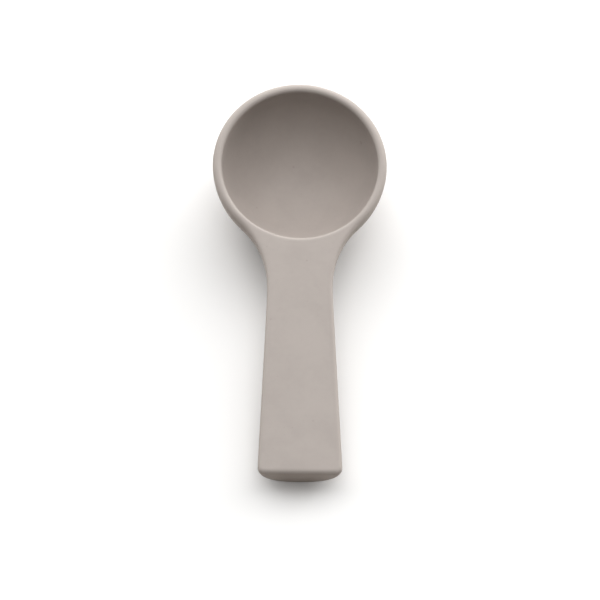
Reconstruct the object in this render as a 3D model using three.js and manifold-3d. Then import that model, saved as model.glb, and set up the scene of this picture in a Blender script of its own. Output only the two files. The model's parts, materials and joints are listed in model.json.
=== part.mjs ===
// A short ceramic teaspoon: a deep round bowl and a flat-topped handle of D section.
// Millimetres, +Z up. The spoon is shaped in its own frame, with the rim and the top of the
// handle in the plane z = 0, the bowl's axis on z and the handle along -y. It is then tilted
// onto the surface it rests on: the foot under the bowl and the tip of the handle.

import * as THREE from 'three';
import { mergeVertices } from 'three/addons/utils/BufferGeometryUtils.js';
import Module from 'manifold-3d';

// Bowl
const BOWL_RADIUS = 21.4;
const WALL = 2.3;
const BOWL_HEIGHT = 21.8;
const FLOOR_THICKNESS = 2.7;
const MOUTH_EDGE_RADIUS = 1;
const FOOT_DIAMETER = 8.4;

// Handle, measured from the bowl's axis
const HANDLE_REACH = 79.25;
const HANDLE_DEPTH = 7.4;
const NECK_WIDTH = 15.75;
const NECK_DISTANCE = 32;
const TIP_WIDTH = 20.5;
const TIP_CORNER_RADIUS = 1.8;
const SIDE_LEAN = THREE.MathUtils.degToRad(8);
const NECK_EDGE_RADIUS = 0.7;
const TIP_EDGE_RADIUS = 1.1;
const TIP_UNDER_RADIUS = 0.6;
const UNDERSIDE_FULLNESS = 2.3;

// Where the handle flares into the bowl
const FLARE_RADIUS = 23.5;
const THROAT_RADIUS = 18;
const JOINT_DISTANCE = 25;

// Facets
const TURNS = 96;
const LIP_STEPS = 6;
const MOUTH_EDGE_STEPS = 4;
const WALL_STEPS = 13;
const UNDERSIDE_STEPS = 11;
const FLARE_STATIONS = 18;
const SHANK_STATIONS = 6;
const CORNER_STATIONS = 8;

// The handle's loft starts inside the bowl, drawn in by this share, so that the two fuse
const BURIED_LENGTH = 2;
const BURIED_SHARE = 0.04;

const wasm = await Module();
wasm.setup();

const lerp = THREE.MathUtils.lerp;
const LIP_RADIUS = WALL - MOUTH_EDGE_RADIUS;
const BOWL_DEPTH_BELOW_LIP = BOWL_HEIGHT - LIP_RADIUS;
const MOUTH_RADIUS = BOWL_RADIUS - WALL;
const CREST_RADIUS = BOWL_RADIUS - LIP_RADIUS;

// Solids

// Merges shared corners, and leaves out the triangles that this closes to a line
function toSolid(geometry) {
  geometry.deleteAttribute('normal');
  geometry.deleteAttribute('uv');
  const merged = mergeVertices(geometry, 1e-4);
  const triangles = [];
  for (let i = 0; i < merged.index.count; i += 3) {
    const [a, b, c] = merged.index.array.slice(i, i + 3);
    if (a !== b && b !== c && c !== a) {
      triangles.push(a, b, c);
    }
  }
  const mesh = new wasm.Mesh({
    numProp: 3,
    vertProperties: Float32Array.from(merged.attributes.position.array),
    triVerts: Uint32Array.from(triangles),
  });
  return new wasm.Manifold(mesh);
}

function toGeometry(solid) {
  const mesh = solid.getMesh();
  const geometry = new THREE.BufferGeometry();
  geometry.setAttribute('position', new THREE.BufferAttribute(mesh.vertProperties, 3));
  geometry.setIndex(new THREE.BufferAttribute(mesh.triVerts, 1));
  geometry.computeVertexNormals();
  return geometry;
}

// Turns a profile of (radius, z) points, given from the bottom up, about the z axis
function revolve(profile) {
  const geometry = new THREE.LatheGeometry(profile, TURNS);
  geometry.rotateX(Math.PI / 2);
  return toSolid(geometry);
}

function quarterArc(steps, pointAt) {
  return Array.from({ length: steps + 1 }, (_, i) => pointAt((i / steps) * Math.PI / 2));
}

// Bowl: an egg-round outside and an egg-round hollow, which meet in the rounded lip. The crest
// of the lip is where its outer and inner quarter-rounds meet.

function bowlOutside() {
  const under = quarterArc(WALL_STEPS, (angle) => new THREE.Vector2(
    BOWL_RADIUS * Math.sin(angle),
    -LIP_RADIUS - BOWL_DEPTH_BELOW_LIP * Math.cos(angle),
  ));
  const lip = quarterArc(LIP_STEPS, (angle) => new THREE.Vector2(
    CREST_RADIUS + LIP_RADIUS * Math.cos(angle),
    -LIP_RADIUS + LIP_RADIUS * Math.sin(angle),
  ));
  return revolve([...under, ...lip.slice(1), new THREE.Vector2(0, 0)]);
}

function bowlHollow() {
  const depth = BOWL_HEIGHT - FLOOR_THICKNESS - MOUTH_EDGE_RADIUS;
  const wall = quarterArc(WALL_STEPS, (angle) => new THREE.Vector2(
    MOUTH_RADIUS * Math.sin(angle),
    -MOUTH_EDGE_RADIUS - depth * Math.cos(angle),
  ));
  const edge = quarterArc(MOUTH_EDGE_STEPS, (angle) => new THREE.Vector2(
    CREST_RADIUS - MOUTH_EDGE_RADIUS * Math.cos(angle),
    -MOUTH_EDGE_RADIUS + MOUTH_EDGE_RADIUS * Math.sin(angle),
  ));
  const above = new THREE.Vector2(CREST_RADIUS, 1);
  return revolve([...wall, ...edge.slice(1), above, new THREE.Vector2(0, 1)]);
}

// Plan outline of bowl and handle on the +x side: the bowl's circle, a hollow flare that
// touches it, and the handle's straight side that widens to the tip

const neckPoint = new THREE.Vector2(NECK_WIDTH / 2, -NECK_DISTANCE);
const tipPoint = new THREE.Vector2(TIP_WIDTH / 2, -HANDLE_REACH);
const sideDirection = tipPoint.clone().sub(neckPoint).normalize();
const sideNormal = new THREE.Vector2(-sideDirection.y, sideDirection.x);
const flareOffset = neckPoint.dot(sideNormal) + FLARE_RADIUS;
const flareCentre = sideNormal.clone().multiplyScalar(flareOffset).addScaledVector(
  sideDirection,
  Math.sqrt((BOWL_RADIUS + FLARE_RADIUS) ** 2 - flareOffset ** 2),
);
const cornerStart = -HANDLE_REACH + TIP_CORNER_RADIUS;

// Half width of the outline at y, for the outline drawn in by inset all round
function halfWidth(y, inset) {
  const bowlRadius = BOWL_RADIUS - inset;
  const flareRadius = FLARE_RADIUS + inset;
  const flareStart = flareCentre.y * bowlRadius / (BOWL_RADIUS + FLARE_RADIUS);
  if (y > flareStart) {
    return Math.sqrt(Math.max(bowlRadius ** 2 - y ** 2, 0));
  }
  const flareEnd = flareCentre.y - flareRadius * sideNormal.y;
  if (y > flareEnd) {
    return flareCentre.x - Math.sqrt(flareRadius ** 2 - (y - flareCentre.y) ** 2);
  }
  const sideOffset = neckPoint.dot(sideNormal) - inset;
  const side = (sideOffset - y * sideNormal.y) / sideNormal.x;
  if (y > cornerStart) {
    return side;
  }
  const cornerRadius = Math.max(TIP_CORNER_RADIUS - inset, 0);
  const run = Math.min(cornerStart - y, cornerRadius);
  return side - cornerRadius + Math.sqrt(cornerRadius ** 2 - run ** 2);
}

// Side view of the underside: the bowl's curve, a hollow throat that touches it, and the
// handle's level underside, rounded up at the tip

function bowlDepth(y) {
  const share = Math.sqrt(Math.max(1 - (y / BOWL_RADIUS) ** 2, 0));
  return LIP_RADIUS + BOWL_DEPTH_BELOW_LIP * share;
}

// Centre of the circle of radius THROAT_RADIUS that rolls on the bowl's side profile
function throatCentreAt(angle) {
  const point = new THREE.Vector2(
    -BOWL_RADIUS * Math.cos(angle),
    LIP_RADIUS + BOWL_DEPTH_BELOW_LIP * Math.sin(angle),
  );
  const normal = new THREE.Vector2(
    -Math.cos(angle) / BOWL_RADIUS,
    Math.sin(angle) / BOWL_DEPTH_BELOW_LIP,
  ).normalize();
  return { point, centre: point.clone().addScaledVector(normal, THROAT_RADIUS) };
}

function findThroat() {
  let low = 0;
  let high = Math.PI / 2;
  for (let i = 0; i < 50; i += 1) {
    const middle = (low + high) / 2;
    if (throatCentreAt(middle).centre.y < HANDLE_DEPTH + THROAT_RADIUS) {
      low = middle;
    } else {
      high = middle;
    }
  }
  return throatCentreAt(low);
}

const throat = findThroat();

function depthAt(y) {
  if (y > throat.point.x) {
    return bowlDepth(y);
  }
  if (y > throat.centre.x) {
    return throat.centre.y - Math.sqrt(THROAT_RADIUS ** 2 - (y - throat.centre.x) ** 2);
  }
  const intoRound = Math.max(TIP_UNDER_RADIUS - HANDLE_REACH - y, 0);
  const rise = Math.sqrt(Math.max(TIP_UNDER_RADIUS ** 2 - intoRound ** 2, 0));
  return HANDLE_DEPTH - TIP_UNDER_RADIUS + rise;
}

// How far along the flare a station is: 0 at the bowl, 1 where the straight side starts
const flareTop = flareCentre.y * BOWL_RADIUS / (BOWL_RADIUS + FLARE_RADIUS);
const flareBottom = flareCentre.y - FLARE_RADIUS * sideNormal.y;

function flareShare(y) {
  return THREE.MathUtils.smoothstep(-y, -flareTop, -flareBottom);
}

function edgeRadius(y) {
  const alongShank = THREE.MathUtils.clamp((flareBottom - y) / (HANDLE_REACH + flareBottom), 0, 1);
  const shankRadius = lerp(NECK_EDGE_RADIUS, TIP_EDGE_RADIUS, alongShank);
  return lerp(LIP_RADIUS, shankRadius, flareShare(y));
}

// One D-shaped section across the handle, as points from the edge of its flat top, over the
// rounded edge and round the underside, to the same edge on the other side. The underside is
// part of an ellipse at the bowl, and somewhat fuller than one along the handle.

function section(y) {
  const edge = edgeRadius(y);
  const lean = SIDE_LEAN * flareShare(y);
  const beforeTip = Math.min((HANDLE_REACH + y) / edge, 1);
  const firstAngle = Math.asin(1 - beforeTip);
  const lip = Array.from({ length: LIP_STEPS + 1 }, (_, i) => {
    const angle = lerp(firstAngle, Math.PI / 2, i / LIP_STEPS);
    const x = halfWidth(y, edge * (1 - Math.sin(angle)));
    return new THREE.Vector2(x, -edge * (1 - Math.cos(angle)));
  });
  const outer = halfWidth(y, 0);
  const power = 2 / lerp(2, UNDERSIDE_FULLNESS, flareShare(y));
  const under = Array.from({ length: UNDERSIDE_STEPS }, (_, i) => {
    const angle = lerp(lean, Math.PI / 2, (i + 1) / UNDERSIDE_STEPS);
    const drop = (Math.sin(angle) - Math.sin(lean)) / (1 - Math.sin(lean));
    const inward = Math.max(Math.cos(angle), 0) / Math.cos(lean);
    return new THREE.Vector2(
      outer * inward ** power,
      -edge - (depthAt(y) - edge) * drop ** power,
    );
  });
  const right = [...lip, ...under];
  const left = right.slice(0, -1).reverse().map((point) => new THREE.Vector2(-point.x, point.y));
  return [...right, ...left];
}

// Joins rings of points that run from the first y to the last into one closed skin

function loft(stations, ringAt) {
  const positions = [];
  const indices = [];
  const rings = stations.map(ringAt);
  const count = rings[0].length;
  rings.forEach((ring, r) => ring.forEach((p) => positions.push(p.x, stations[r], p.y)));
  for (let r = 0; r < rings.length - 1; r += 1) {
    for (let i = 0; i < count; i += 1) {
      const a = r * count + i;
      const b = r * count + (i + 1) % count;
      indices.push(a, b + count, b, a, a + count, b + count);
    }
  }
  const last = (rings.length - 1) * count;
  for (let i = 1; i < count - 1; i += 1) {
    indices.push(0, i, i + 1, last, last + i + 1, last + i);
  }
  const geometry = new THREE.BufferGeometry();
  geometry.setAttribute('position', new THREE.Float32BufferAttribute(positions, 3));
  geometry.setIndex(indices);
  return toSolid(geometry);
}

function handleStations() {
  const start = Math.max(flareTop, throat.point.x) + BURIED_LENGTH;
  const flareEnd = Math.min(flareBottom, throat.centre.x);
  const flare = Array.from({ length: FLARE_STATIONS }, (_, i) => (
    lerp(start, flareEnd, i / FLARE_STATIONS)
  ));
  const shank = Array.from({ length: SHANK_STATIONS }, (_, i) => (
    lerp(flareEnd, cornerStart, i / SHANK_STATIONS)
  ));
  const corner = quarterArc(CORNER_STATIONS, (angle) => (
    cornerStart - TIP_CORNER_RADIUS * Math.sin(angle)
  ));
  return [...flare, ...shank, ...corner];
}

function handleBody() {
  const stations = handleStations();
  return loft(stations, (y) => {
    const inBowl = THREE.MathUtils.clamp((y - flareTop) / (stations[0] - flareTop), 0, 1);
    return section(y).map((point) => new THREE.Vector2(
      point.x * (1 - BURIED_SHARE * inBowl),
      point.y * (1 - BURIED_SHARE * inBowl),
    ));
  });
}

// At rest the spoon leans down towards the tip of its handle. The foot is ground level with
// the surface, across the lowest point of the bowl.

const undersideRadius = BOWL_RADIUS ** 2 / BOWL_DEPTH_BELOW_LIP;
const footCut = FOOT_DIAMETER ** 2 / (8 * undersideRadius);

function bowlDrop(tilt) {
  const round = Math.hypot(BOWL_RADIUS * Math.sin(tilt), BOWL_DEPTH_BELOW_LIP * Math.cos(tilt));
  return LIP_RADIUS * Math.cos(tilt) + round - footCut;
}

function restTilt() {
  const reach = HANDLE_REACH - TIP_UNDER_RADIUS;
  const depth = HANDLE_DEPTH - TIP_UNDER_RADIUS;
  let tilt = 0;
  for (let i = 0; i < 30; i += 1) {
    tilt = Math.asin((bowlDrop(tilt) - TIP_UNDER_RADIUS - depth * Math.cos(tilt)) / reach);
  }
  return tilt;
}

const tilt = restTilt();
const restHeight = bowlDrop(tilt);
const up = new THREE.Vector3(0, Math.sin(tilt), Math.cos(tilt));

// A block that fills all that lies beyond a plane, which stands level or upright at rest
function blockBeyond(directionAtRest, pointOnPlane) {
  const size = 4 * HANDLE_REACH;
  const geometry = new THREE.BoxGeometry(size, size, size);
  geometry.translate(...directionAtRest.clone().multiplyScalar(size / 2).toArray());
  geometry.rotateX(-tilt);
  geometry.translate(...pointOnPlane.toArray());
  return toSolid(geometry);
}

const belowFoot = blockBeyond(
  new THREE.Vector3(0, 0, -1),
  up.clone().multiplyScalar(-restHeight),
);
const beyondJoint = blockBeyond(
  new THREE.Vector3(0, -1, 0),
  new THREE.Vector3(0, -JOINT_DISTANCE, 0),
);
const shaped = bowlOutside().add(handleBody()).subtract(bowlHollow()).subtract(belowFoot);

// Sub-parts

function satinGlaze() {
  return new THREE.MeshStandardMaterial({ color: 0xb3a8a1, roughness: 0.55, metalness: 0 });
}

function bowl() {
  const mesh = new THREE.Mesh(toGeometry(shaped.subtract(beyondJoint)), satinGlaze());
  mesh.name = 'bowl';
  return mesh;
}

function handle() {
  const mesh = new THREE.Mesh(toGeometry(shaped.intersect(beyondJoint)), satinGlaze());
  mesh.name = 'handle';
  return mesh;
}

// The whole spoon, tilted and set down with the middle of its length over the origin

const spoon = new THREE.Group();
spoon.name = 'teaspoon';
spoon.add(bowl(), handle());
spoon.rotation.x = tilt;
spoon.position.z = restHeight;
spoon.updateMatrixWorld(true);
const box = new THREE.Box3().setFromObject(spoon, true);
spoon.position.y = -(box.min.y + box.max.y) / 2;

export default spoon;
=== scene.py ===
"""A short ceramic teaspoon with a satin glaze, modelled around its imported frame."""

import json
import math
from collections import namedtuple

import bmesh
import bpy
import numpy as np
from mathutils import Matrix, Vector


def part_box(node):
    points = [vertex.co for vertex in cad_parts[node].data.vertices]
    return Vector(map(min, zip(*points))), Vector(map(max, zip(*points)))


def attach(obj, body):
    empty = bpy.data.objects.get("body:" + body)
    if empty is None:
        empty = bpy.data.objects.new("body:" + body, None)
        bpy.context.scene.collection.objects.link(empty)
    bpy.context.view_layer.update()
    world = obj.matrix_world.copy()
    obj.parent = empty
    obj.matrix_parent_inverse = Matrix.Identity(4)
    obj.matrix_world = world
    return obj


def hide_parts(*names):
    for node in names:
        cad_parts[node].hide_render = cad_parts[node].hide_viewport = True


bl_info = {
    "name": "Ceramic teaspoon",
    "version": (1, 0, 0),
    "blender": (4, 5, 0),
    "location": "View3D > Sidebar > Teaspoon",
    "description": "Models a glazed ceramic teaspoon over its frame, and the studio around it",
    "category": "Add Mesh",
}

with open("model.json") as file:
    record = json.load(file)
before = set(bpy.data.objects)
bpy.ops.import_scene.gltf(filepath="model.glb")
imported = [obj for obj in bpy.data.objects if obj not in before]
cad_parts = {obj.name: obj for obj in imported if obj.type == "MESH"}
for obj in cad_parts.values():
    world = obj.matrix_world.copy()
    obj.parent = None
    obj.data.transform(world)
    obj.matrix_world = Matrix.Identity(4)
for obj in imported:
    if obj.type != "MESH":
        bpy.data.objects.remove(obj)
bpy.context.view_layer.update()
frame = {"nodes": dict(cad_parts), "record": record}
MM = 0.001
MICROMETRE = 0.001 * MM

# The least upward part of the normal of a face that counts as looking up
FACES_UP = 0.9


# The spoon's own frame has its rim and the top of its handle in the plane z = 0, the bowl's
# axis on z and the handle along -y. At rest it leans down towards the tip.

def flat_top_normal():
    """Which way the flat top of the handle faces at rest."""
    faces = frame["nodes"]["handle"].data.polygons
    return max(faces, key=lambda face: face.area * (face.normal.z > FACES_UP)).normal.copy()


def rest_matrix():
    """Takes the spoon from its own frame to where it rests."""
    up = flat_top_normal()
    across = Vector((1, 0, 0))
    along = up.cross(across)
    corners = [v.co for v in frame["nodes"]["bowl"].data.vertices]
    radius = max(co.x for co in corners)
    top = max(co.dot(up) for co in corners)
    far = max(co.dot(along) for co in corners)
    centre = up * top + along * (far - radius)
    turn = Matrix((across, along, up)).transposed().to_4x4()
    return Matrix.Translation(centre) @ turn


REST = rest_matrix()
BOWL_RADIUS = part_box("bowl")[1].x
TIP_HALF_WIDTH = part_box("handle")[1].x
HANDLE_REACH = -min(
    (REST.inverted() @ v.co).y for v in frame["nodes"]["handle"].data.vertices)
FOOT_CENTRE = Vector(frame["record"]["mounts"][0]["pos_m"])


# Sizes and colours that a user would change

class TeaspoonBody(bpy.types.PropertyGroup):
    wall: bpy.props.FloatProperty(
        name="Wall", description="Thickness of the bowl at its lip",
        default=2.3 * MM, unit="LENGTH")
    bowl_height: bpy.props.FloatProperty(
        name="Bowl height", description="Depth of the outside of the bowl below its rim",
        default=21.8 * MM, unit="LENGTH")
    floor_thickness: bpy.props.FloatProperty(
        name="Floor", description="Thickness of the clay at the bottom of the bowl",
        default=2.7 * MM, unit="LENGTH")
    mouth_edge: bpy.props.FloatProperty(
        name="Mouth edge", description="Radius of the rounded edge round the bowl's mouth",
        default=1.0 * MM, unit="LENGTH")
    neck_distance: bpy.props.FloatProperty(
        name="Neck distance", description="From the bowl's axis to the narrowest place",
        default=32 * MM, unit="LENGTH")
    neck_half_width: bpy.props.FloatProperty(
        name="Neck half width", description="Half the width of the neck at its narrowest",
        default=7.875 * MM, unit="LENGTH")
    handle_depth: bpy.props.FloatProperty(
        name="Handle depth", description="From the flat top of the handle to its underside",
        default=7.4 * MM, unit="LENGTH")
    foot_cut: bpy.props.FloatProperty(
        name="Foot cut", description="Height above the floor at which the foot is ground flat",
        default=0.02 * MM, unit="LENGTH")
    fit_to_frame: bpy.props.BoolProperty(
        name="Fit to frame",
        description="Draw the cage onto the solids of the frame, whatever the sizes above say",
        default=True)


class TeaspoonGlaze(bpy.types.PropertyGroup):
    glaze_colour: bpy.props.FloatVectorProperty(
        name="Glaze", description="Colour of the glaze where it lies thick",
        subtype="COLOR", size=3, min=0, max=1, default=(0.41, 0.365, 0.336))
    thin_colour: bpy.props.FloatVectorProperty(
        name="Thin glaze", description="Colour where the glaze has run thin over an edge",
        subtype="COLOR", size=3, min=0, max=1, default=(0.432, 0.387, 0.356))
    speck_colour: bpy.props.FloatVectorProperty(
        name="Specks", description="Colour of the iron specks in the clay",
        subtype="COLOR", size=3, min=0, max=1, default=(0.27, 0.225, 0.195))
    clay_colour: bpy.props.FloatVectorProperty(
        name="Bare clay", description="Colour of the fired clay where the foot is wiped clean",
        subtype="COLOR", size=3, min=0, max=1, default=(0.62, 0.54, 0.45))


class TeaspoonStage(bpy.types.PropertyGroup):
    floor_colour: bpy.props.FloatVectorProperty(
        name="Floor", description="Colour of the floor",
        subtype="COLOR", size=3, min=0, max=1, default=(0.925, 0.92, 0.91))
    floor_bounce: bpy.props.FloatVectorProperty(
        name="Floor bounce", description="Colour of the floor for the light it throws back",
        subtype="COLOR", size=3, min=0, max=1, default=(0.55, 0.5, 0.455))
    ambient: bpy.props.FloatProperty(
        name="Ambient", description="Strength of the light from all round", default=0.0)
    lens: bpy.props.FloatProperty(
        name="Lens", description="Focal length of the camera in millimetres", default=240)
    camera_distance: bpy.props.FloatProperty(
        name="Camera distance", description="From the camera to the point it looks at",
        default=966.5 * MM, unit="LENGTH")
    camera_elevation: bpy.props.FloatProperty(
        name="Camera elevation", description="Angle of the view above the floor",
        default=math.radians(60.1), subtype="ANGLE")
    camera_swing: bpy.props.FloatProperty(
        name="Camera swing", description="How far the camera stands left of the handle",
        default=math.radians(3.03), subtype="ANGLE")
    camera_roll: bpy.props.FloatProperty(
        name="Camera roll", description="Turns the picture until the handle is upright in it",
        default=math.radians(3.14), subtype="ANGLE")


# Helpers for modelling

def make_active(piece):
    """Selects the piece alone, and makes it the active one."""
    bpy.ops.object.select_all(action="DESELECT")
    piece.select_set(True)
    bpy.context.view_layer.objects.active = piece


def select_in_edit_mode(piece, kind, keep):
    """Selects those verts, edges or faces of the piece in edit mode that keep picks."""
    modes = {"verts": "VERT", "edges": "EDGE", "faces": "FACE"}
    bpy.ops.mesh.select_mode(type=modes[kind])
    bpy.ops.mesh.select_all(action="DESELECT")
    mesh = bmesh.from_edit_mesh(piece.data)
    for part in getattr(mesh, kind):
        if keep(part):
            part.select_set(True)
    mesh.select_flush_mode()
    bmesh.update_edit_mesh(piece.data)


def fill_with_grid(piece, span, corner):
    """Fills the selected loop with a grid that has a corner where corner is largest."""
    mesh = bmesh.from_edit_mesh(piece.data)
    mesh.select_history.clear()
    mesh.select_history.add(max((v for v in mesh.verts if v.select), key=corner))
    bpy.ops.mesh.fill_grid(span=span)


def apply_modifier(piece, kind, **settings):
    """Gives the piece a modifier with these settings, and applies it."""
    make_active(piece)
    modifier = piece.modifiers.new(kind.title(), kind)
    for name, value in settings.items():
        setattr(modifier, name, value)
    bpy.ops.object.modifier_apply(modifier=modifier.name)


# The body: the bowl's cage is drawn up ring by ring from the bottom of its hollow and over
# the lip, its wall is opened towards the handle, and the handle is drawn out of there

# Vertices round the bowl, and the widths of the grids that close it and the handle's tip
SEGMENTS = 32
CAP_SPAN = SEGMENTS // 4
NECK_SPAN = 8

# Where the rings stand, in degrees round the curve that they follow
HOLLOW_ANGLES = (28, 40, 52, 64, 76, 86)
MOUTH_EDGE_ANGLES = (5, 35, 65)
LIP_ANGLES = (0, 30, 60, 90)
OUTER_ANGLES = (13, 26, 38.5, 52, 65)

# The opening in the wall: half its angle seen from above, and the outer rings that it cuts
NECK_HALF_ANGLE = math.radians(45)
WALL_RINGS_AT_NECK = 3

# The first loop out of the opening, in millimetres: how far it lies from the bowl's axis, and
# where the flare is as wide as it; then the shares that it keeps of the opening's depth and curve
FIRST_LOOP_REACH = 21
FIRST_LOOP_AS_WIDE_AT = 18.5
FIRST_LOOP_DEPTH = 0.83
FIRST_LOOP_CURVE = 0.5

# The loops after it, in millimetres: how far each lies before the neck and how deep it is
# there, and how far each lies beyond the neck
THROAT_LOOPS = ((8.8, 9.0), (6.2, 8.0), (3.4, 7.5))
SHANK_LOOPS = (0, 6, 14, 22, 30, 38, 43)

# The loops round the tip's edges, in millimetres: how far each is before the end of the
# handle, how far it is drawn in at the sides, below the top and above the underside
TIP_LOOPS = (
    (1.8, 0.1, 0, 0),
    (1.1, 0.2, 0, 0),
    (0.4, 0.67, 0.25, 0.03),
    (0.1, 1.22, 0.64, 0.27),
    (0, 1.8, 1.1, 0.6),
    (0, 2.8, 1.8, 1.3),
)

# How many times the cage is subdivided after each fit, and how fine the sphere is that the
# foot is fitted to
SUBDIVISIONS = (1, 2)
SPHERE_SEGMENTS = 192

# How close two places are that count as one, in the cage, in a finished mesh and at the cut
# that grinds the foot flat
NEAR_IN_CAGE = 0.01 * MM
NEAR = 0.001 * MM
CUT_THRESHOLD = 0.01 * NEAR

# A loop that the handle is drawn through, in the spoon's own frame
Loop = namedtuple("Loop", "y half_width top bottom")


def lip_radius(body):
    """Radius of the lip's softer, outer rounding."""
    return body.wall - body.mouth_edge


def hollow_rings(body):
    """Radius and height of the rings up the inside of the bowl and round its mouth's edge."""
    radius = BOWL_RADIUS - body.wall
    edge = body.mouth_edge
    depth = body.bowl_height - body.floor_thickness - edge
    inside = [
        (radius * math.sin(angle), -edge - depth * math.cos(angle))
        for angle in map(math.radians, HOLLOW_ANGLES)
    ]
    return inside + [
        (radius + edge * (1 - math.cos(angle)), -edge * (1 - math.sin(angle)))
        for angle in map(math.radians, MOUTH_EDGE_ANGLES)
    ]


def lip_rings(body):
    """Radius and height of the rings over the lip, from its crest outwards."""
    rounding = lip_radius(body)
    crest = BOWL_RADIUS - rounding
    return [
        (crest + rounding * math.sin(angle), -rounding * (1 - math.cos(angle)))
        for angle in map(math.radians, LIP_ANGLES)
    ]


def outer_rings(body):
    """Radius and height of the rings down the outside of the bowl."""
    depth = body.bowl_height - lip_radius(body)
    return [
        (BOWL_RADIUS * math.cos(angle), -lip_radius(body) - depth * math.sin(angle))
        for angle in map(math.radians, OUTER_ANGLES)
    ]


def draw_up_bowl(body):
    """Extrudes the bowl's cage ring by ring, and closes its inside and its outside below."""
    rings = hollow_rings(body) + lip_rings(body) + outer_rings(body)
    radius, height = rings[0]
    bpy.ops.object.select_all(action="DESELECT")
    bpy.ops.mesh.primitive_circle_add(
        vertices=SEGMENTS, radius=radius, location=(0, 0, height))
    piece = bpy.context.active_object
    bpy.ops.object.transform_apply(location=True, rotation=True, scale=True)
    bpy.ops.object.mode_set(mode="EDIT")
    bpy.ops.mesh.select_mode(type="EDGE")
    bpy.ops.mesh.select_all(action="SELECT")
    for next_radius, next_height in rings[1:]:
        share = next_radius / radius
        bpy.ops.mesh.extrude_edges_move()
        bpy.ops.transform.resize(
            value=(share, share, 1), center_override=(0, 0, height))
        bpy.ops.transform.translate(value=(0, 0, next_height - height))
        radius, height = next_radius, next_height
    for end_height in (rings[0][1], rings[-1][1]):
        select_in_edit_mode(piece, "edges", lambda edge: edge.is_boundary and all(
            abs(v.co.z - end_height) < NEAR_IN_CAGE for v in edge.verts))
        fill_with_grid(piece, CAP_SPAN, corner=lambda v: v.co.x + v.co.y)
    return piece


def open_wall(piece, body):
    """Takes out the faces of lip and wall that look along the handle."""
    rings = lip_rings(body) + outer_rings(body)[:WALL_RINGS_AT_NECK]

    def on_rings(vertex):
        radius = math.hypot(vertex.co.x, vertex.co.y)
        return any(
            abs(radius - r) < NEAR_IN_CAGE and abs(vertex.co.z - z) < NEAR_IN_CAGE
            for r, z in rings)

    def looks_along_handle(face):
        middle = face.calc_center_median()
        return abs(math.atan2(middle.x, -middle.y)) < NECK_HALF_ANGLE

    select_in_edit_mode(piece, "faces", lambda face: (
        looks_along_handle(face) and all(on_rings(v) for v in face.verts)))
    bpy.ops.mesh.delete(type="FACE")


def flare_half_width(y, body):
    """Half width of the flare, a hollow arc that touches the bowl's circle and the neck."""
    neck, distance = body.neck_half_width, body.neck_distance
    arc = (distance ** 2 + neck ** 2 - BOWL_RADIUS ** 2) / (2 * (BOWL_RADIUS - neck))
    return neck + arc - math.sqrt(arc ** 2 - (y + distance) ** 2)


def shank_half_width(y, body):
    """Half width of the handle, which widens evenly from the neck to the tip."""
    share = (-y - body.neck_distance) / (HANDLE_REACH - body.neck_distance)
    return body.neck_half_width + share * (TIP_HALF_WIDTH - body.neck_half_width)


def handle_loops(body):
    """The opening in the bowl's wall, and the loops that the handle is drawn through."""
    wall_bottom = outer_rings(body)[WALL_RINGS_AT_NECK - 1][1]
    underside = -body.handle_depth
    loops = [
        Loop(
            lip_radius(body) - BOWL_RADIUS, BOWL_RADIUS * math.sin(NECK_HALF_ANGLE),
            0, wall_bottom),
        Loop(
            -FIRST_LOOP_REACH * MM, flare_half_width(-FIRST_LOOP_AS_WIDE_AT * MM, body),
            0, FIRST_LOOP_DEPTH * wall_bottom),
    ]
    for before_neck, depth in THROAT_LOOPS:
        y = before_neck * MM - body.neck_distance
        loops.append(Loop(y, flare_half_width(y, body), 0, -depth * MM))
    for beyond_neck in SHANK_LOOPS:
        y = -beyond_neck * MM - body.neck_distance
        loops.append(Loop(y, shank_half_width(y, body), 0, underside))
    for before_end, inset, drop, rise in TIP_LOOPS:
        loops.append(Loop(
            before_end * MM - HANDLE_REACH, TIP_HALF_WIDTH - inset * MM,
            -drop * MM, underside + rise * MM))
    return loops


def draw_out(loop, drawn, curve):
    """Extrudes the selected loop to the drawn one, and keeps a share of its curve along y."""
    deeper = (drawn.top - drawn.bottom) / (loop.top - loop.bottom)
    bpy.ops.mesh.extrude_edges_move()
    bpy.ops.transform.resize(
        value=(drawn.half_width / loop.half_width, curve, deeper),
        center_override=(0, loop.y, loop.top))
    bpy.ops.transform.translate(value=(0, drawn.y - loop.y, drawn.top - loop.top))


def draw_out_handle(piece, body):
    """Draws the handle out of the opening loop by loop, and closes its tip."""
    select_in_edit_mode(piece, "edges", lambda edge: edge.is_boundary)
    loops = handle_loops(body)
    curve = FIRST_LOOP_CURVE
    for loop, drawn in zip(loops, loops[1:]):
        draw_out(loop, drawn, curve)
        curve = 0
    fill_with_grid(piece, NECK_SPAN, corner=lambda v: v.co.x + v.co.z)


def merged_frame_copy():
    """One closed copy of the frame's two nodes, without the joint's faces between them."""
    copies = []
    for name in ("bowl", "handle"):
        copy = bpy.data.objects.new("fit_" + name, frame["nodes"][name].data.copy())
        bpy.context.collection.objects.link(copy)
        copies.append(copy)
    make_active(copies[0])
    copies[1].select_set(True)
    bpy.ops.object.join()
    solids = bpy.context.active_object
    joint_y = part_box("handle")[1].y
    bpy.ops.object.mode_set(mode="EDIT")
    bpy.ops.mesh.select_all(action="SELECT")
    bpy.ops.mesh.remove_doubles(threshold=NEAR)
    select_in_edit_mode(solids, "faces", lambda face: all(
        abs(v.co.y - joint_y) < NEAR for v in face.verts))
    bpy.ops.mesh.delete(type="FACE")
    bpy.ops.object.mode_set(mode="OBJECT")
    return solids


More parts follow.
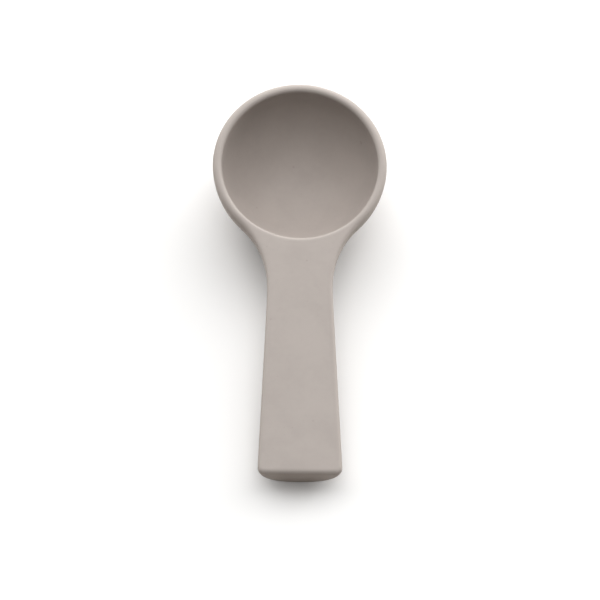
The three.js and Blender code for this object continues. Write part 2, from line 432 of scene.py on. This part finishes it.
def outside_of_bowl(body):
    """The bowl's egg-round outside, as it was before the foot was ground flat."""
    bpy.ops.object.select_all(action="DESELECT")
    bpy.ops.mesh.primitive_uv_sphere_add(
        segments=SPHERE_SEGMENTS, ring_count=SPHERE_SEGMENTS // 2, radius=1, location=(0, 0, 0))
    outside = bpy.context.active_object
    depth = body.bowl_height - lip_radius(body)
    outside.matrix_world = (
        REST @ Matrix.Translation((0, 0, -lip_radius(body)))
        @ Matrix.Diagonal((BOWL_RADIUS, BOWL_RADIUS, depth, 1)))
    bpy.ops.object.transform_apply(location=True, rotation=True, scale=True)
    return outside


def mark_foot(piece, body):
    """Puts the cage's lowest vertices in a group of their own."""
    foot = piece.vertex_groups.new(name="foot")
    lowest_ring = outer_rings(body)[-1][1]
    inside = body.floor_thickness - body.bowl_height
    highest = min(lowest_ring, inside) + NEAR_IN_CAGE
    foot.add([v.index for v in piece.data.vertices if v.co.z < highest], 1, "REPLACE")


def fit(piece, solids, round_outside):
    """Draws the foot onto the round outside, and all the rest onto the solids."""
    apply_modifier(
        piece, "SHRINKWRAP", target=solids, vertex_group="foot", invert_vertex_group=True)
    apply_modifier(piece, "SHRINKWRAP", target=round_outside, vertex_group="foot")


def smooth_over_frame(piece, body):
    """Subdivides the cage, and fits it to the frame before each time."""
    solids = merged_frame_copy()
    round_outside = outside_of_bowl(body)
    for levels in SUBDIVISIONS:
        if body.fit_to_frame:
            fit(piece, solids, round_outside)
        apply_modifier(piece, "SUBSURF", levels=levels, render_levels=levels)
    bpy.data.objects.remove(solids)
    bpy.data.objects.remove(round_outside)
    piece.vertex_groups.clear()


def grind_foot(piece, body):
    """Cuts the foot flat, and keeps a crisp edge round it."""
    make_active(piece)
    bpy.ops.object.mode_set(mode="EDIT")
    bpy.ops.mesh.select_all(action="SELECT")
    bpy.ops.mesh.bisect(
        plane_co=(0, 0, body.foot_cut), plane_no=(0, 0, 1), use_fill=True,
        clear_inner=True, threshold=CUT_THRESHOLD)
    select_in_edit_mode(piece, "edges", lambda edge: (
        all(v.co.z < body.foot_cut + NEAR for v in edge.verts)
        and any(len(face.verts) > 4 for face in edge.link_faces)))
    bpy.ops.mesh.mark_sharp()
    bpy.ops.object.mode_set(mode="OBJECT")


def model_body(body):
    """The whole body: its cage is made, laid down at rest, smoothed and ground."""
    piece = draw_up_bowl(body)
    open_wall(piece, body)
    draw_out_handle(piece, body)
    bpy.ops.mesh.select_all(action="SELECT")
    bpy.ops.mesh.normals_make_consistent(inside=False)
    bpy.ops.object.mode_set(mode="OBJECT")
    piece.name = piece.data.name = "spoon_body"
    mark_foot(piece, body)
    piece.matrix_world = REST
    bpy.ops.object.transform_apply(location=True, rotation=True, scale=True)
    smooth_over_frame(piece, body)
    grind_foot(piece, body)
    make_active(piece)
    bpy.ops.object.shade_smooth()
    return piece


# Thin glaze: the sum of the surface's two curvatures, per metre, where the glaze starts to run
# thin and where it is thinnest, and how many times the mark is spread to the next vertices

SHALLOW_BEND = 250
SHARP_BEND = 1100
THIN_GLAZE_SPREAD = 3


def vertex_vectors(mesh, what):
    """The place or the normal of each vertex, as rows of an array."""
    values = np.zeros(len(mesh.vertices) * 3)
    mesh.vertices.foreach_get(what, values)
    return values.reshape(-1, 3)


def mark_thin_glaze(piece):
    """Stores how sharply the surface turns outwards, where the glaze has run thin."""
    mesh = piece.data
    count = len(mesh.vertices)
    place = vertex_vectors(mesh, "co")
    normal = vertex_vectors(mesh, "normal")
    ends = np.zeros(len(mesh.edges) * 2, int)
    mesh.edges.foreach_get("vertices", ends)
    first, second = ends.reshape(-1, 2).T
    neighbours = np.bincount(ends, minlength=count)

    def mean_of_edges(at_first, at_second):
        """Mean at each vertex of the values that its edges give to their two ends."""
        return (
            np.bincount(first, at_first, count) + np.bincount(second, at_second, count)
        ) / neighbours

    along = place[second] - place[first]
    bend = np.einsum("ij,ij->i", normal[second] - normal[first], along)
    bend /= np.einsum("ij,ij->i", along, along)
    turning = 2 * mean_of_edges(bend, bend)
    thin = np.clip((turning - SHALLOW_BEND) / (SHARP_BEND - SHALLOW_BEND), 0, 1)
    for _ in range(THIN_GLAZE_SPREAD):
        thin = mean_of_edges(thin[second], thin[first])
    attribute = mesh.attributes.new("thin_glaze", "FLOAT", "POINT")
    attribute.data.foreach_set("value", thin)


# Helpers for materials

def add_node(tree, kind, inputs=None, **settings):
    """A new node with its settings made and its inputs linked or filled in."""
    node = tree.nodes.new("ShaderNode" + kind)
    for name, value in settings.items():
        setattr(node, name, value)
    for name, value in (inputs or {}).items():
        if isinstance(value, bpy.types.NodeSocket):
            tree.links.new(value, node.inputs[name])
        else:
            node.inputs[name].default_value = value
    return node


def remap(tree, value, low, high, to_low=0.0, to_high=1.0):
    """A smooth step of value from low to high."""
    return add_node(tree, "MapRange", {
        "Value": value, "From Min": low, "From Max": high, "To Min": to_low, "To Max": to_high,
    }, interpolation_type="SMOOTHSTEP").outputs["Result"]


def calculate(tree, operation, *values):
    """The result of a Math node for these values or sockets."""
    return add_node(
        tree, "Math", dict(enumerate(values)), operation=operation).outputs["Value"]


def blend_colours(tree, share, first, second):
    """From the first colour to the second, through the Mix node's sockets for colours."""
    return add_node(
        tree, "Mix", {0: share, 6: first, 7: second}, data_type="RGBA").outputs[2]


def noise(tree, place, feature_size, detail, distortion=0.0):
    """Soft noise from 0 to 1, whose blotches are about feature_size across."""
    return add_node(tree, "TexNoise", {
        "Vector": place, "Scale": 1 / feature_size, "Detail": detail, "Distortion": distortion,
    }).outputs["Fac"]


def new_group(name, inputs, outputs):
    """A shader node group, with what it is given and the sockets for its results."""
    group = bpy.data.node_groups.new(name, "ShaderNodeTree")
    for in_out, sockets in (("INPUT", inputs), ("OUTPUT", outputs)):
        for socket, kind in sockets.items():
            group.interface.new_socket(socket, in_out=in_out, socket_type="NodeSocket" + kind)
    given = group.nodes.new("NodeGroupInput").outputs
    results = group.nodes.new("NodeGroupOutput").inputs
    return group, given, results


def use_group(tree, group, inputs):
    return add_node(tree, "Group", inputs, node_tree=group).outputs


def opaque(colour):
    return (*colour, 1)


# The glaze: groups for its mottling, specks and relief, and one material that joins them

# Sizes and shares of the glaze's broad clouds and of the finer ones in them, and how far the
# broad ones are pulled out of shape
CLOUD_SIZE = 9 * MM
CLOUD_SHARE = 0.75
CLOUD_DISTORTION = 0.4
FINE_CLOUD_SIZE = 1.1 * MM
FINE_CLOUD_SHARE = 0.25

# From where to where the mottling shows, and how much darker and lighter it makes the glaze
CLOUDS_SHOW = (0.3, 0.7)
CLOUD_TONE = 0.03

# Specks, in shares of their spacing: how large the largest is and where their soft edge lies;
# then the spacing of each kind, the share of places that hold one, and how dark they show
LARGEST_SPECK = 0.16
SPECK_EDGE = (-0.03, 0.05)
FINE_SPECKS = {"Spacing": 0.9 * MM, "Share": 0.5}
FINE_SPECK_STRENGTH = 0.22
LARGE_SPECKS = {"Spacing": 3.1 * MM, "Share": 0.3}
LARGE_SPECK_STRENGTH = 0.32

# Relief: the size, the noise's detail and the height in micrometres of each layer
WAVES = (7 * MM, 1, 30)
ORANGE_PEEL = (0.9 * MM, 2, 7)
DRY_GRAIN = (0.16 * MM, 3, 3.5)
SANDY_CLAY = (0.3 * MM, 4, 30)
SPECK_PIT = 3

# Where the foot is wiped clean: how far out and how far up that reaches at most, the width of
# its soft edge, and the size and depth of the edge's waves
WIPED_RADIUS = 5 * MM
WIPED_HEIGHT = 1 * MM
WIPED_EDGE = 0.2 * MM
RAGGED_SIZE = 1.3 * MM
RAGGED_DEPTH = 0.8 * MM

# Where a worn edge starts to show and where it shows in full, and the mean of the mottling,
# which makes it uneven
WORN_EDGE_SHOWS = (0.1, 0.9)
MEAN_THICKNESS = 0.5

# Roughness of the glaze at the two ends of the mottling, what is added to it on worn edges and
# on bare clay, and how strongly the glaze shines
GLAZE_ROUGHNESS = (0.56, 0.47)
EDGE_ROUGHNESS = 0.08
CLAY_ROUGHNESS = 0.35
GLAZE_GLOSS = 0.25


def mottling_group():
    """How thick the glaze lies: broad clouds with finer ones in them, about 0.5."""
    group, given, results = new_group(
        "Glaze mottling", {"Place": "Vector"}, {"Thickness": "Float"})
    clouds = noise(group, given["Place"], CLOUD_SIZE, detail=3, distortion=CLOUD_DISTORTION)
    fine = noise(group, given["Place"], FINE_CLOUD_SIZE, detail=2)
    thickness = calculate(
        group, "ADD", calculate(group, "MULTIPLY", clouds, CLOUD_SHARE),
        calculate(group, "MULTIPLY", fine, FINE_CLOUD_SHARE))
    group.links.new(thickness, results["Thickness"])
    return group


def specks_group():
    """Mask of iron specks of uneven size, in some of the places that stand Spacing apart."""
    group, given, results = new_group(
        "Iron specks", {"Place": "Vector", "Spacing": "Float", "Share": "Float"},
        {"Mask": "Float"})
    scale = calculate(group, "DIVIDE", 1.0, given["Spacing"])
    cells = add_node(group, "TexVoronoi", {"Vector": given["Place"], "Scale": scale}).outputs
    chance = add_node(group, "SeparateColor", {"Color": cells["Color"]}).outputs
    size = calculate(group, "MULTIPLY", chance["Red"], LARGEST_SPECK)
    inside = calculate(group, "SUBTRACT", size, cells["Distance"])
    present = calculate(group, "LESS_THAN", chance["Green"], given["Share"])
    mask = calculate(group, "MULTIPLY", remap(group, inside, *SPECK_EDGE), present)
    group.links.new(mask, results["Mask"])
    return group


def relief_group():
    """Height of the surface in micrometres: waves, orange peel, dry grain, pits and sand."""
    group, given, results = new_group(
        "Glaze relief", {"Place": "Vector", "Specks": "Float", "Bare": "Float"},
        {"Height": "Float"})

    def layer(size, detail, height):
        return calculate(
            group, "MULTIPLY", noise(group, given["Place"], size, detail), height)

    sand = calculate(group, "MULTIPLY", layer(*SANDY_CLAY), given["Bare"])
    pits = calculate(group, "MULTIPLY", given["Specks"], -SPECK_PIT)
    height = layer(*WAVES)
    for part in (layer(*ORANGE_PEEL), layer(*DRY_GRAIN), sand, pits):
        height = calculate(group, "ADD", height, part)
    group.links.new(height, results["Height"])
    return group


def worn_edge(tree, thickness):
    """Where the glaze has run thin over an edge, unevenly as the mottling goes."""
    edge = add_node(tree, "Attribute", attribute_name="thin_glaze").outputs["Fac"]
    uneven = calculate(tree, "ADD", edge, calculate(tree, "SUBTRACT", thickness, MEAN_THICKNESS))
    return calculate(tree, "MULTIPLY", remap(tree, uneven, *WORN_EDGE_SHOWS), edge)


def wiped_foot(tree, place):
    """Where the foot is wiped clean: a round patch underneath, with a ragged edge."""
    from_middle = add_node(
        tree, "VectorMath", {0: place, 1: FOOT_CENTRE}, operation="DISTANCE").outputs["Value"]
    ragged = calculate(
        tree, "MULTIPLY", noise(tree, place, RAGGED_SIZE, detail=3), RAGGED_DEPTH)
    reach = calculate(tree, "ADD", from_middle, ragged)
    wiped = remap(
        tree, reach, WIPED_RADIUS + WIPED_EDGE / 2, WIPED_RADIUS - WIPED_EDGE / 2)
    height = add_node(tree, "SeparateXYZ", {"Vector": place}).outputs["Z"]
    underneath = calculate(tree, "LESS_THAN", height, WIPED_HEIGHT)
    return calculate(tree, "MULTIPLY", wiped, underneath)


def colour_of_glaze(tree, glaze, thickness, thin, specks, bare):
    """Cloudy glaze that is paler on edges, then its specks, then the bare clay."""
    dark, light = (
        opaque(min(tone * channel, 1) for channel in glaze.glaze_colour)
        for tone in (1 - CLOUD_TONE, 1 + CLOUD_TONE))
    colour = blend_colours(tree, remap(tree, thickness, *CLOUDS_SHOW), dark, light)
    colour = blend_colours(tree, thin, colour, opaque(glaze.thin_colour))
    for mask, strength in specks:
        share = calculate(tree, "MULTIPLY", mask, strength)
        colour = blend_colours(tree, share, colour, opaque(glaze.speck_colour))
    return blend_colours(tree, bare, colour, opaque(glaze.clay_colour))


def matte_glaze(glaze):
    """Satin matte glaze over speckled clay, worn thin on the edges and wiped off the foot."""
    material = bpy.data.materials.new("matte_glaze")
    material.use_nodes = True
    tree = material.node_tree
    shader = tree.nodes["Principled BSDF"].inputs
    place = add_node(tree, "TexCoord").outputs["Object"]

    thickness = use_group(tree, mottling_group(), {"Place": place})["Thickness"]
    specks_in = specks_group()
    fine_specks = use_group(tree, specks_in, {"Place": place, **FINE_SPECKS})["Mask"]
    large_specks = use_group(tree, specks_in, {"Place": place, **LARGE_SPECKS})["Mask"]
    thin = worn_edge(tree, thickness)
    bare = wiped_foot(tree, place)

    specks = ((fine_specks, FINE_SPECK_STRENGTH), (large_specks, LARGE_SPECK_STRENGTH))
    colour = colour_of_glaze(tree, glaze, thickness, thin, specks, bare)
    tree.links.new(colour, shader["Base Color"])

    roughness = remap(tree, thickness, *CLOUDS_SHOW, *GLAZE_ROUGHNESS)
    roughness = calculate(tree, "MULTIPLY_ADD", thin, EDGE_ROUGHNESS, roughness)
    roughness = calculate(tree, "MULTIPLY_ADD", bare, CLAY_ROUGHNESS, roughness)
    tree.links.new(roughness, shader["Roughness"])
    shader["Specular IOR Level"].default_value = GLAZE_GLOSS

    height = use_group(tree, relief_group(), {
        "Place": place, "Specks": large_specks, "Bare": bare})["Height"]
    bump = add_node(tree, "Bump", {"Height": height, "Strength": 1.0, "Distance": MICROMETRE})
    tree.links.new(bump.outputs["Normal"], shader["Normal"])
    return material


class TEASPOON_OT_body(bpy.types.Operator):
    """Models the clay body, with bowl, handle and foot in one skin"""

    bl_idname = "teaspoon.body"
    bl_label = "Clay body"

    def execute(self, context):
        piece = model_body(context.scene.teaspoon_body)
        mark_thin_glaze(piece)
        piece.data.materials.append(matte_glaze(context.scene.teaspoon_glaze))
        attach(piece, "root")
        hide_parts("bowl", "handle")
        return {"FINISHED"}


# The stage: a floor, three round lamps and a camera at the photograph's angle, in metres, with
# the width of the camera's film in millimetres

FLOOR_SIZE = 6
FLOOR_ROUGHNESS = 0.9
LIGHT_DISTANCE = 0.6
FILM_WIDTH = 36
CAMERA_TARGET = Vector((-0.01 * MM, -6.71 * MM, 15.06 * MM))


def direction(azimuth, elevation):
    """Unit vector away from the spoon. Azimuth turns from +Y, its far end, towards +X."""
    return Vector((
        math.sin(azimuth) * math.cos(elevation), math.cos(azimuth) * math.cos(elevation),
        math.sin(elevation)))


def aim(thing, target):
    """Turns a lamp or a camera towards the target."""
    thing.rotation_euler = (Vector(target) - thing.location).to_track_quat("-Z", "Y").to_euler()


def add_soft_light(name, azimuth, elevation, spread, radiance):
    """A round panel that fills the angle spread, seen from the spoon. Angles are in degrees.

    A white surface that faces a room of radiance 1 is seen at 1.
    """
    radius = LIGHT_DISTANCE * math.tan(math.radians(spread) / 2)
    light = bpy.data.lights.new(name, "AREA")
    light.shape = "DISK"
    light.size = 2 * radius
    light.energy = radiance * math.pi * (math.pi * radius ** 2)
    lamp = bpy.data.objects.new(name, light)
    bpy.context.collection.objects.link(lamp)
    lamp.location = LIGHT_DISTANCE * direction(math.radians(azimuth), math.radians(elevation))
    lamp.visible_camera = False
    aim(lamp, (0, 0, 0))


def seen_directly(tree):
    """1 for camera, glossy and transmission rays, and 0 for diffuse and shadow rays."""
    path = add_node(tree, "LightPath").outputs
    seen = calculate(tree, "MAXIMUM", path["Is Camera Ray"], path["Is Glossy Ray"])
    return calculate(tree, "MAXIMUM", seen, path["Is Transmission Ray"])


def white_room(ambient):
    """A world that looks white, in reflections too. Its other light has the strength ambient."""
    world = bpy.data.worlds.new("studio")
    bpy.context.scene.world = world
    world.use_nodes = True
    tree = world.node_tree
    strength = add_node(tree, "MapRange", {
        "Value": seen_directly(tree), "To Min": ambient, "To Max": 1.0}).outputs["Result"]
    background = tree.nodes["Background"].inputs
    background["Color"].default_value = (1, 1, 1, 1)
    tree.links.new(strength, background["Strength"])


def pale_floor(stage):
    """Matte white for what looks at it, and duller for the light that it throws back."""
    material = bpy.data.materials.new("floor")
    material.use_nodes = True
    tree = material.node_tree
    shader = tree.nodes["Principled BSDF"].inputs
    colour = blend_colours(
        tree, seen_directly(tree), opaque(stage.floor_bounce), opaque(stage.floor_colour))
    tree.links.new(colour, shader["Base Color"])
    shader["Roughness"].default_value = FLOOR_ROUGHNESS
    shader["Specular IOR Level"].default_value = 0.0
    return material


def lay_floor(stage):
    """A pale floor, far wider than the camera sees."""
    bpy.ops.object.select_all(action="DESELECT")
    bpy.ops.mesh.primitive_plane_add(size=FLOOR_SIZE)
    floor = bpy.context.active_object
    floor.name = "floor"
    floor.data.materials.append(pale_floor(stage))


def set_up_camera(stage):
    """Stands the camera before and above the handle's tip, a little to the left."""
    camera_data = bpy.data.cameras.new("camera")
    camera_data.lens = stage.lens
    camera_data.sensor_width = FILM_WIDTH
    camera = bpy.data.objects.new("camera", camera_data)
    bpy.context.collection.objects.link(camera)
    camera.location = CAMERA_TARGET + stage.camera_distance * direction(
        math.pi + stage.camera_swing, stage.camera_elevation)
    aim(camera, CAMERA_TARGET)
    camera.rotation_euler.rotate_axis("Z", stage.camera_roll)
    bpy.context.scene.camera = camera


class TEASPOON_OT_stage(bpy.types.Operator):
    """Adds the floor, the lamps and the camera"""

    bl_idname = "teaspoon.stage"
    bl_label = "Stage"

    def execute(self, context):
        stage = context.scene.teaspoon_stage
        lay_floor(stage)
        add_soft_light("sky_behind", azimuth=0, elevation=35, spread=120, radiance=2.22)
        add_soft_light("side", azimuth=60, elevation=15, spread=30, radiance=4.28)
        add_soft_light("front", azimuth=180, elevation=65, spread=40, radiance=1.76)
        white_room(stage.ambient)
        set_up_camera(stage)
        context.scene.view_settings.view_transform = "Standard"
        return {"FINISHED"}


OPERATORS = (TEASPOON_OT_body, TEASPOON_OT_stage)
SETTINGS = {
    "teaspoon_body": TeaspoonBody,
    "teaspoon_glaze": TeaspoonGlaze,
    "teaspoon_stage": TeaspoonStage,
}


class TEASPOON_PT_panel(bpy.types.Panel):
    bl_label = "Teaspoon"
    bl_idname = "TEASPOON_PT_panel"
    bl_space_type = "VIEW_3D"
    bl_region_type = "UI"
    bl_category = "Teaspoon"

    def draw(self, context):
        for operator in OPERATORS:
            self.layout.operator(operator.bl_idname)
        for group, kind in SETTINGS.items():
            settings = getattr(context.scene, group)
            for name in kind.__annotations__:
                self.layout.prop(settings, name)


def register():
    for settings in SETTINGS.values():
        bpy.utils.register_class(settings)
    for name, settings in SETTINGS.items():
        setattr(bpy.types.Scene, name, bpy.props.PointerProperty(type=settings))
    for operator in OPERATORS:
        bpy.utils.register_class(operator)
    bpy.utils.register_class(TEASPOON_PT_panel)


def unregister():
    bpy.utils.unregister_class(TEASPOON_PT_panel)
    for operator in OPERATORS:
        bpy.utils.unregister_class(operator)
    for name, settings in SETTINGS.items():
        delattr(bpy.types.Scene, name)
        bpy.utils.unregister_class(settings)


def main():
    register()
    bpy.ops.teaspoon.body()
    bpy.ops.teaspoon.stage()


if __name__ == "__main__":
    main()
